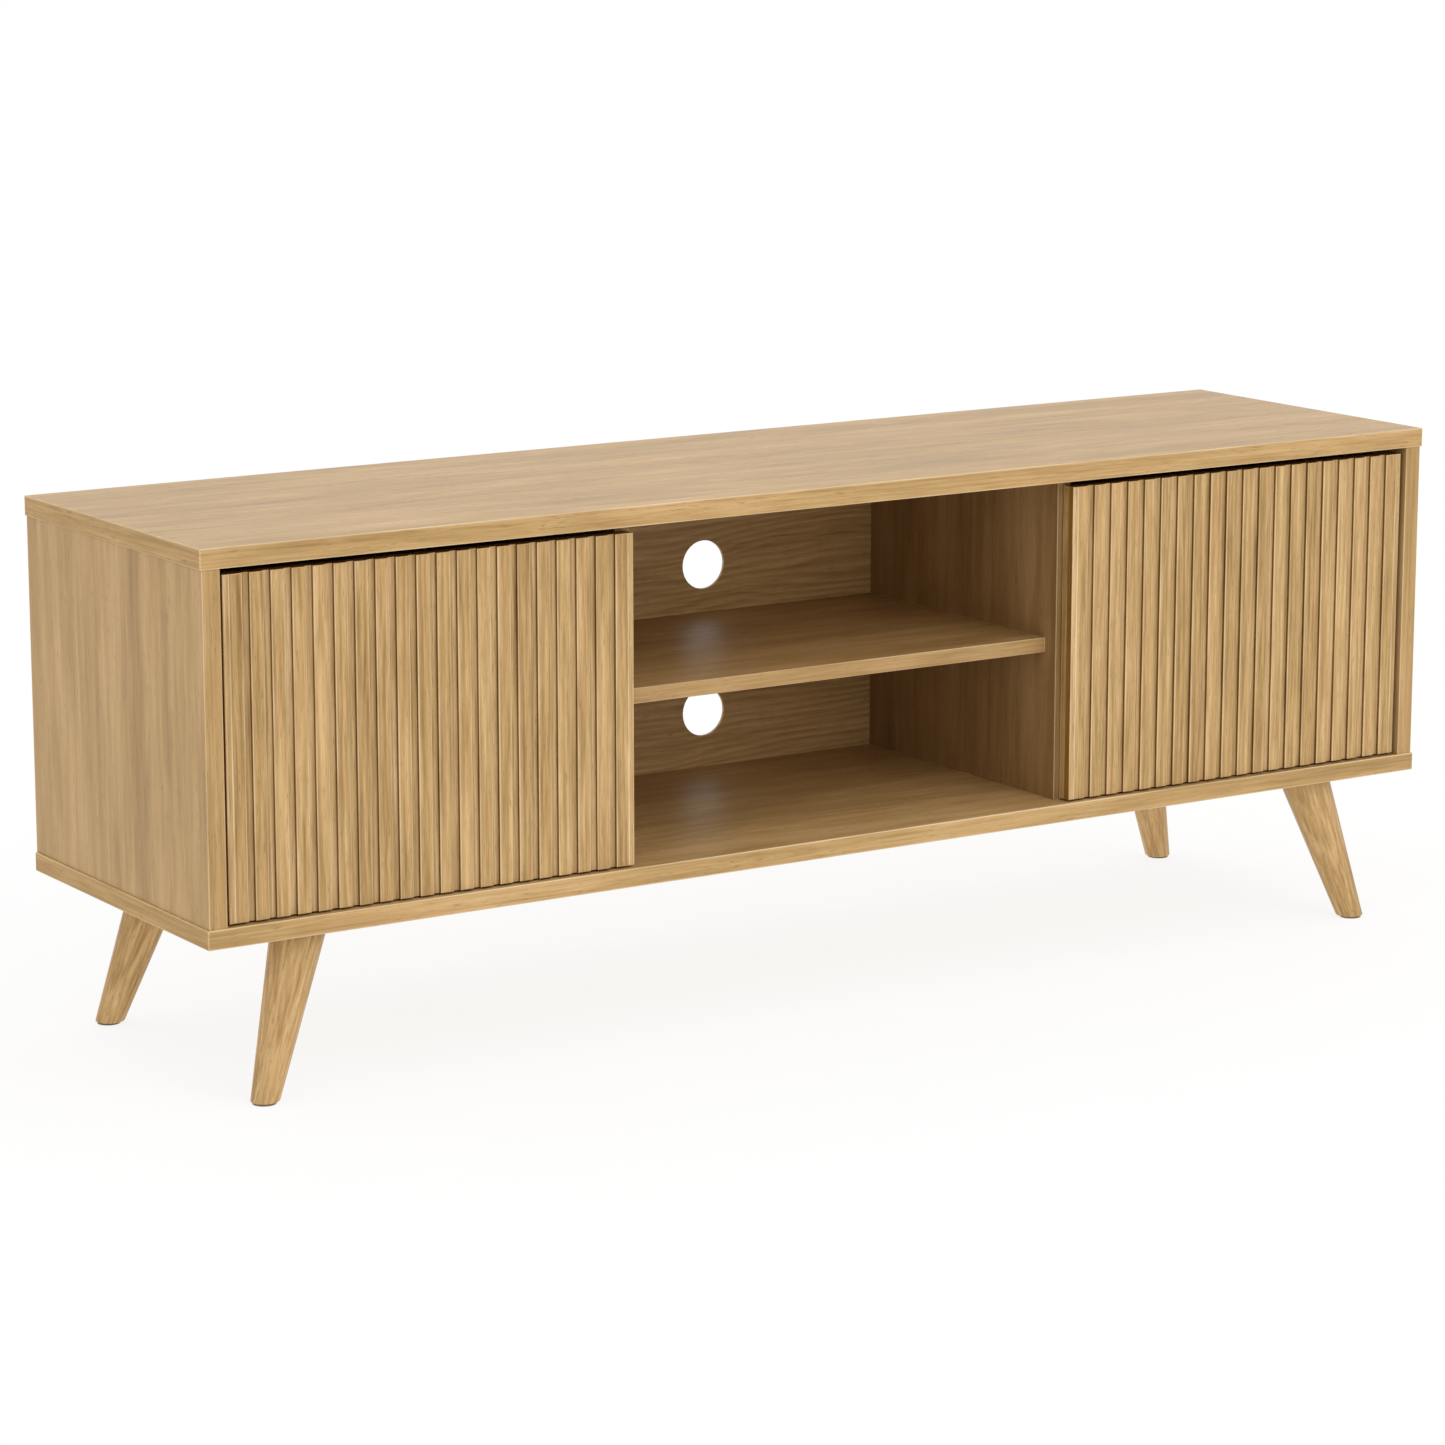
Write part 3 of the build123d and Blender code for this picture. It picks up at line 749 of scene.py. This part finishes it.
@dataclass(frozen=True)
class Plastic:
    """Moulded plastic with a finely sparked surface, a little mottled and rubbed.

    Attributes:
        body: Its tone.
        rubbed: Tone where it has been rubbed.
        roughness: Gloss.
    """

    body: str
    rubbed: str
    roughness: float = 0.42

    def material(self, name: str) -> bpy.types.Material:
        """Make the plastic.

        Args:
            name: Name of the material.

        Returns:
            The material.
        """
        graph = Graph(name)
        place = graph.place()
        mottle = graph.noise(place, (120.0, 120.0, 120.0), 3.0, 0.6)
        spark = graph.noise(place, (2600.0, 2600.0, 2600.0), 2.0, 0.6)
        colour = graph.mix(graph.span(mottle, 0.4, 0.7, 0.0, 0.5), tone(self.body), tone(self.rubbed))
        graph.plug(graph.shader.inputs["Base Color"], colour)
        gloss = graph.math("MULTIPLY_ADD", mottle, 0.16, self.roughness - 0.08)
        graph.plug(graph.shader.inputs["Roughness"], gloss)
        graph.bump(spark, 0.03 * MM, 0.6)
        return graph.material


@dataclass(frozen=True)
class Felt:
    """Pressed felt of short crossed hairs.

    Attributes:
        pale: Tone of the hairs on top.
        deep: Tone between them.
    """

    pale: str
    deep: str

    def material(self, name: str) -> bpy.types.Material:
        """Make the felt.

        Args:
            name: Name of the material.

        Returns:
            The material.
        """
        graph = Graph(name)
        place = graph.place()
        one_way = graph.noise(place, (700.0, 3200.0, 2600.0), 3.0, 0.65, 0.8)
        other_way = graph.noise(place, (3200.0, 700.0, 2600.0), 3.0, 0.65, 0.8)
        hairs = graph.math("MAXIMUM", one_way, other_way)
        graph.plug(graph.shader.inputs["Base Color"],
                   graph.ramp(graph.span(hairs, 0.42, 0.72), (tone(self.deep), tone(self.pale))))
        graph.plug(graph.shader.inputs["Roughness"], graph.span(hairs, 0.3, 0.7, 0.98, 0.86))
        graph.plug(graph.shader.inputs["Sheen Weight"], 0.4)
        graph.bump(hairs, 0.25 * MM)
        return graph.material


NICKEL = Metal("C9C5BD", "A8A49C", roughness=0.26)
ZINC = Metal("A9ABAD", "85878A", roughness=0.42, scratches=0.25, grain=1500.0)
PLATE = Metal("BDBEBC", "9A9C9B", roughness=0.36)
STEEL = Metal("B4B3B0", "8F8E8A", roughness=0.33, scratches=0.6)


def dress_node(node: str, material: bpy.types.Material) -> None:
    """Give a CAD node its finish.

    Args:
        node: Name of the node.
        material: What it gets in all its material slots.
    """
    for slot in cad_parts[node].material_slots:
        slot.material = material
    log.info("dressed %s", node)


# ---- meshes -----------------------------------------------------------------------------------


def closed_loft(name: str, rows: np.ndarray, sharp: float = 35.0) -> bpy.types.Object:
    """A closed mesh through a stack of rings.

    Point j of ring i is joined to point j + 1 and to ring i + 1 by a four-sided face, with j running round
    the ring. A fan of triangles about the middle of the first ring and of the last ring closes the ends.

    Args:
        name: Name of the piece.
        rows: Rings, points of a ring, and three coordinates; the rings turn anticlockwise seen from the end.
        sharp: Angle between faces, in degrees, above which an edge stays sharp.

    Returns:
        The object, at the origin, with its place in its mesh.
    """
    rings, count, _ = rows.shape
    index = np.arange(rings * count).reshape(rings, count)
    ahead = np.roll(index, -1, axis=1)
    sides = np.stack((index[:-1], ahead[:-1], ahead[1:], index[1:]), axis=-1).reshape(-1, 4)
    first, last = rings * count, rings * count + 1
    start_fan = np.stack((np.full(count, first), ahead[0], index[0]), axis=-1)
    end_fan = np.stack((np.full(count, last), index[-1], ahead[-1]), axis=-1)
    points = np.concatenate((rows.reshape(-1, 3), rows[:1].mean(axis=1), rows[-1:].mean(axis=1)))
    mesh = bpy.data.meshes.new(name)
    mesh.from_pydata(points.tolist(), [], [*sides.tolist(), *start_fan.tolist(), *end_fan.tolist()])
    mesh.polygons.foreach_set("use_smooth", np.ones(len(mesh.polygons), bool))
    mesh.set_sharp_from_angle(angle=math.radians(sharp))
    mesh.update()
    made = bpy.data.objects.new(name, mesh)
    bpy.context.scene.collection.objects.link(made)
    return made


def carry_vector(mesh: bpy.types.Mesh, name: str, values: np.ndarray) -> None:
    """Store one vector for each point of a mesh.

    Args:
        mesh: The mesh.
        name: Name that a material reads it by.
        values: Points by three numbers.
    """
    layer = mesh.attributes.new(name, "FLOAT_VECTOR", "POINT")
    layer.data.foreach_set("vector", values.astype(np.float32).ravel())


# ---- sub-assemblies ---------------------------------------------------------------------------


@dataclass
class Carcass:
    """The boards, uprights, shelf and back panels.

    Attributes:
        cut_step: How far apart in the tree two boards were cut.
    """

    cut_step: Vector = field(default_factory=lambda: Vector((1.37, 0.53, 0.29)))

    def finishes(self) -> dict[str, Oak]:
        """Choose the finish of each board.

        Returns:
            Finishes by the name of the node.
        """
        # Painted shade: side panels, dividers, shelf and back panels take a depth below 1, and the boards' end
        # bands a lower brightness, for the dimmer light on them; the uprights carry a painted shadow line
        # where they meet the boards, and the pale arrises are a painted highlight and rubbed lacquer.
        board = Oak(Axis.X, FLAMED, band=Axis.Y, band_faces=Axis.X, streaks=0.32, wear_highlight_width=1.6 * MM,
                    streak_size=(6.0, 95.0, 330.0))
        upright = Oak(Axis.Z, STRAIGHT, depth=0.91, streak_size=(5.0, 300.0, 75.0), fines=0.15, joined=Axis.Z)
        divider = replace(upright, depth=0.62)
        shelf = Oak(Axis.X, FLAMED, depth=0.84, roughness=0.43, streak_size=(6.0, 95.0, 330.0))
        back = Oak(Axis.X, WAVY, wear_highlight=0.0, depth=0.97, streak_size=(6.0, 95.0, 200.0))
        made = {"top_panel": board, "bottom_panel": replace(board, roughness=0.43), "centre_shelf": shelf,
                "centre_back_panel": back}
        for side in SIDES:
            made |= {f"{side}_side_panel": upright, f"{side}_divider": divider, f"{side}_back_panel": back}
        return made

    def build(self) -> None:
        """Dress every board with its own cut of oak."""
        for place, (node, oak) in enumerate(self.finishes().items()):
            dress_node(node, oak.board(node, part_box(node), self.cut_step * (place + 1)))


@dataclass
class SlattedDoor:
    """One door.

    Attributes:
        side: Left or right.
        cut: Where in the tree it was cut.
    """

    side: str
    cut: Vector

    def build(self) -> None:
        """Dress the door's slats, grooves, edges and back."""
        node = f"{self.side}_door"
        oak = SlattedOak(Axis.Z, NARROW, band=Axis.X, band_faces=Axis.Z, streaks=0.5,
                         streak_size=(11.0, 230.0, 230.0), fines=0.2, wear_highlight=0.6)
        dress_node(node, oak.door(node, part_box(node), self.cut))


@dataclass
class TurnedLeg:
    """A round tapered leg that leans out to the cabinet's end and to its front or back.

    Attributes:
        side: Left or right.
        end: Front or back.
        foot_from_end: Leg axis on the floor, in from the boards' ends.
        foot_from_front: Leg axis on the floor, in from the boards' front and back edges.
        splay: How far further in the axis is at the bottom board, along X and along Y.
        foot_radius: Radius of the leg on the floor.
        head_radius: Radius at the bottom board.
        foot_ease: Rounding of the foot's edge.
        head_ease: Rounding of the head's edge.
        bore_radius: Radius of the bore for the hanger bolt.
        bore_depth: Depth of that bore below the bottom board.
        around: Points round the leg.
        edge_rings: Rings on an eased edge.
        shaft_rings: Rings from one eased edge to the other, the last of the one and the first of the other
            counted.
    """

    side: str
    end: str
    foot_from_end: float = 62 * MM
    foot_from_front: float = 20 * MM
    splay: tuple[float, float] = (50 * MM, 23 * MM)
    foot_radius: float = 13 * MM
    head_radius: float = 25.5 * MM
    foot_ease: float = 1.2 * MM
    head_ease: float = 0.6 * MM
    bore_radius: float = 4.15 * MM
    bore_depth: float = 36.15 * MM
    around: int = 128
    edge_rings: int = 6
    shaft_rings: int = 24

    @property
    def node(self) -> str:
        """Name of the CAD node that the leg stands for."""
        return f"{self.end}_{self.side}_leg"

    def axis(self) -> tuple[np.ndarray, np.ndarray]:
        """Place the leg's axis.

        Returns:
            Its point on the floor, and its point at the underside of the bottom board.
        """
        low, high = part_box("bottom_panel")
        way_x = -1 if self.side == "left" else 1
        way_y = -1 if self.end == "front" else 1
        foot = np.array((way_x * (high.x - self.foot_from_end), way_y * (high.y - self.foot_from_front), 0.0))
        head = foot + np.array((-way_x * self.splay[0], -way_y * self.splay[1], low.z))
        return foot, head

    def rings(self) -> tuple[np.ndarray, np.ndarray]:
        """The leg's rings, and the same points measured along and across its own axis.

        A point of the cone is foot + s A + r (cos t E + sin t F). A is the axis, E and F are square to it, s
        is the way up the axis and r = r0 + k s - ease. Where a ring has to be level at a height z, s follows
        from z = s Az + (r0 - ease + k s) c, with c = cos t Ez + sin t Fz, so it is
        s = (z - (r0 - ease) c) / (Az + k c).
        An eased edge takes a quarter circle's points: ease (1 - cos q) off the radius at ease (1 - sin q)
        from the end. The bore's rim is level with the head, and its floor is square to the axis.

        Returns:
            Rings by points by three coordinates, in the row frame and in the leg's own.
        """
        foot, head = self.axis()
        low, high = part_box(self.node)
        length = np.linalg.norm(head - foot)
        up = (head - foot) / length
        east = np.cross((0.0, 1.0, 0.0), up)
        east /= np.linalg.norm(east)
        north = np.cross(up, east)
        angle = np.linspace(0.0, 2 * math.pi, self.around, endpoint=False)
        lean = np.cos(angle) * east[2] + np.sin(angle) * north[2]
        growth = (self.head_radius - self.foot_radius) / length

        quarter = np.linspace(0.0, math.pi / 2, self.edge_rings)
        shaft = np.linspace(low.z + self.foot_ease, high.z - self.head_ease, self.shaft_rings)[1:-1]
        height = np.concatenate((low.z + self.foot_ease * (1 - np.sin(quarter[::-1])), shaft,
                                 high.z - self.head_ease * (1 - np.sin(quarter))))
        ease = np.concatenate((self.foot_ease * (1 - np.cos(quarter[::-1])), np.zeros(len(shaft)),
                               self.head_ease * (1 - np.cos(quarter))))
        start = self.foot_radius - ease[:, None]
        rise = (height[:, None] - start * lean) / (up[2] + growth * lean)
        radius = start + growth * rise
        rim = (high.z - self.bore_radius * lean) / up[2]
        floor = np.full(self.around, length - self.bore_depth)
        rise = np.vstack((rise, rim, floor))
        radius = np.vstack((radius, np.full((2, self.around), self.bore_radius)))
        own = np.stack((rise, radius * np.cos(angle), radius * np.sin(angle)), axis=-1)
        return foot + own @ np.stack((up, east, north)), own

    def build(self, cut: Vector) -> None:
        """Turn the leg and dress it, its fibres along its axis.

        Args:
            cut: Where in the tree it was cut.
        """
        rows, own = self.rings()
        name = f"turned_{self.node}"
        leg = closed_loft(name, rows)
        ends = (own[0].mean(axis=0)[None], own[-1].mean(axis=0)[None])
        carry_vector(leg.data, "leg_place", np.concatenate((own.reshape(-1, 3), *ends)))
        oak = Oak(Axis.X, TURNED, streaks=0.5, streak_size=(11.0, 260.0, 260.0), fines=0.3)
        leg.data.materials.append(oak.turned(name, "leg_place", cut))
        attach(leg, "root")
        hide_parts(self.node)
        log.info("turned %s", name)


@dataclass
class Undercarriage:
    """The four legs with their plates, bolts, screws and glides.

    Attributes:
        cut_step: How far apart in the tree two legs were cut.
    """

    cut_step: Vector = field(default_factory=lambda: Vector((2.1, 0.47, 0.83)))

    def build(self) -> None:
        """Build the legs and dress what holds them and what they stand on."""
        plate = PLATE.material("leg_plate_zinc")
        for place, (side, end) in enumerate((side, end) for side in SIDES for end in ENDS):
            TurnedLeg(side, end).build(self.cut_step * (place + 1))
            dress_node(f"{end}_{side}_leg_plate", plate)
        dress_node("leg_bolts", STEEL.material("leg_bolt_steel"))
        dress_node("leg_plate_screws", STEEL.material("leg_screw_steel"))
        dress_node("foot_glides", Felt("8A795F", "5C4E3B").material("glide_felt_brown"))


@dataclass
class Hinges:
    """The four concealed hinges and their screws."""

    def build(self) -> None:
        """Dress cups, pins, arms, plates and screws."""
        nickel = NICKEL.material("hinge_nickel_plate")
        steel = STEEL.material("hinge_screw_steel")
        pin = Metal("D0CECA", "B3B1AD", roughness=0.2, scratches=0.2).material("hinge_pin_steel")
        for side in SIDES:
            for level in LEVELS:
                for piece in ("cup", "arm", "plate"):
                    dress_node(f"{side}_{level}_hinge_{piece}", nickel)
                dress_node(f"{side}_{level}_hinge_pin", pin)
            dress_node(f"{side}_hinge_cup_screws", steel)
        dress_node("hinge_plate_screws", steel)
        dress_node("hinge_arm_screws", steel)


@dataclass
class PushLatches:
    """The push-to-open latch behind each door's free edge."""

    def build(self) -> None:
        """Dress housings, plungers, springs, strike plates and screws."""
        housing = Plastic("B9B6AF", "CFCCC6").material("latch_housing_plastic")
        plunger = Plastic("4A4845", "625F5B", roughness=0.36).material("latch_plunger_plastic")
        steel = STEEL.material("latch_steel")
        for side in SIDES:
            dress_node(f"{side}_latch_housing", housing)
            dress_node(f"{side}_latch_plunger", plunger)
            dress_node(f"{side}_latch_spring", steel)
            dress_node(f"{side}_strike_plate", NICKEL.material(f"{side}_strike_nickel"))
            dress_node(f"{side}_strike_screws", steel)
        dress_node("latch_screws", steel)


@dataclass
class CarcassFittings:
    """What draws the boards together."""

    def build(self) -> None:
        """Dress cam locks, cam bolts, dowels and shelf screws."""
        dress_node("cam_locks", ZINC.material("cam_zinc"))
        dress_node("cam_bolts", STEEL.material("cam_bolt_steel"))
        dress_node("shelf_screws", STEEL.material("shelf_screw_steel"))
        beech = Oak(Axis.Z, NARROW, pale="E3C49B", middle="D3AE80", deep="BC9263", wear_highlight=0.0)
        dress_node("wood_dowels", beech.board("wood_dowels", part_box("wood_dowels"), Vector((0.3, 0.2, 0.1))))


# ---- studio -----------------------------------------------------------------------------------


@dataclass
class Studio:
    """A pale floor, a soft even surround, one broad soft light and the camera.

    Attributes:
        azimuth: Camera's way round the cabinet from straight in front, in degrees, positive towards +X.
        elevation: Its height above the horizon, in degrees.
        distance: From the camera to what it looks at.
        aim: What it looks at, from the middle of the cabinet.
        lens: Focal length in millimetres.
        floor_radius: Radius of the round floor.
        surround: Brightness of the surround.
        floor_glow: Brightness of the floor's own light.
        light_place: Where the soft light hangs.
        light_side: Length of its sides.
        light_power: Its power in watts.
    """

    azimuth: float = -32.857
    elevation: float = 11.659
    distance: float = 4.5265
    aim: Vector = field(default_factory=lambda: Vector((-0.030, 0.018, -0.006)))
    lens: float = 113.49
    floor_radius: float = 45.0
    surround: float = 0.99
    floor_glow: float = 0.83
    light_place: Vector = field(default_factory=lambda: Vector((0.9, -3.4, 2.6)))
    light_side: float = 2.6
    light_power: float = 33.0

    def build(self) -> None:
        """Make the studio round the cabinet."""
        self.lay_floor()
        self.light()
        self.set_camera()

    def lay_floor(self) -> None:
        """Lay a round floor that gives off light, as a light table does, so that shadows stay pale."""
        angle = np.linspace(0.0, 2 * math.pi, 96, endpoint=False)
        rim = np.stack((np.cos(angle), np.sin(angle), np.zeros_like(angle)), axis=-1) * self.floor_radius
        mesh = bpy.data.meshes.new("pale_floor")
        mesh.from_pydata(rim.tolist(), [], [list(range(len(angle)))])
        floor = bpy.data.objects.new("pale_floor", mesh)
        bpy.context.scene.collection.objects.link(floor)
        graph = Graph("pale_floor_paper")
        paper = graph.noise(graph.place(), (9.0, 9.0, 9.0), 4.0, 0.6)
        graph.plug(graph.shader.inputs["Base Color"], graph.ramp(paper, (tone("707070"), tone("757575"))))
        graph.plug(graph.shader.inputs["Roughness"], graph.span(paper, 0.3, 0.7, 0.85, 0.95))
        graph.plug(graph.shader.inputs["Specular IOR Level"], 0.0)
        graph.plug(graph.shader.inputs["Emission Color"], (1.0, 1.0, 1.0))
        graph.plug(graph.shader.inputs["Emission Strength"], self.floor_glow)
        mesh.materials.append(graph.material)

    def light(self) -> None:
        """Light the cabinet from all round, a little more from the front and above."""
        world = bpy.data.worlds.new("studio_surround")
        world.use_nodes = True
        background = world.node_tree.nodes["Background"]
        background.inputs["Color"].default_value = (1.0, 1.0, 1.0, 1.0)
        background.inputs["Strength"].default_value = self.surround
        bpy.context.scene.world = world
        bpy.context.scene.view_settings.view_transform = "Standard"
        self.hang_light()

    def hang_light(self) -> None:
        """Hang the square soft light so that it looks at the cabinet's middle."""
        lamp = bpy.data.lights.new("front_soft_light", "AREA")
        lamp.shape = "SQUARE"
        lamp.size = self.light_side
        lamp.energy = self.light_power
        held = bpy.data.objects.new("front_soft_light", lamp)
        held.location = self.light_place
        held.rotation_euler = (self.middle() - self.light_place).to_track_quat("-Z", "Y").to_euler()
        bpy.context.scene.collection.objects.link(held)

    def middle(self) -> Vector:
        """The middle of the cabinet's box."""
        low, high = (Vector(corner) for corner in CAD_BOX)
        return (low + high) / 2

    def set_camera(self) -> None:
        """Put the camera on its bearing from the cabinet, level from side to side."""
        turn, climb = math.radians(self.azimuth), math.radians(self.elevation)
        back = Vector((math.sin(turn) * math.cos(climb), -math.cos(turn) * math.cos(climb), math.sin(climb)))
        data = bpy.data.cameras.new("cabinet_camera")
        data.lens = self.lens
        data.clip_end = 2 * self.floor_radius
        camera = bpy.data.objects.new("cabinet_camera", data)
        camera.location = self.middle() + self.aim + back * self.distance
        camera.rotation_euler = back.to_track_quat("Z", "Y").to_euler()
        bpy.context.scene.collection.objects.link(camera)
        bpy.context.scene.camera = camera


def main() -> None:
    """Build the studio and every sub-assembly, and report each piece."""
    logging.basicConfig(level=logging.INFO, format="%(name)s: %(message)s")
    Studio().build()
    Carcass().build()
    for place, side in enumerate(SIDES):
        SlattedDoor(side, DOOR_CUT * (place + 1)).build()
    Undercarriage().build()
    Hinges().build()
    PushLatches().build()
    CarcassFittings().build()


if __name__ == "__main__":
    main()
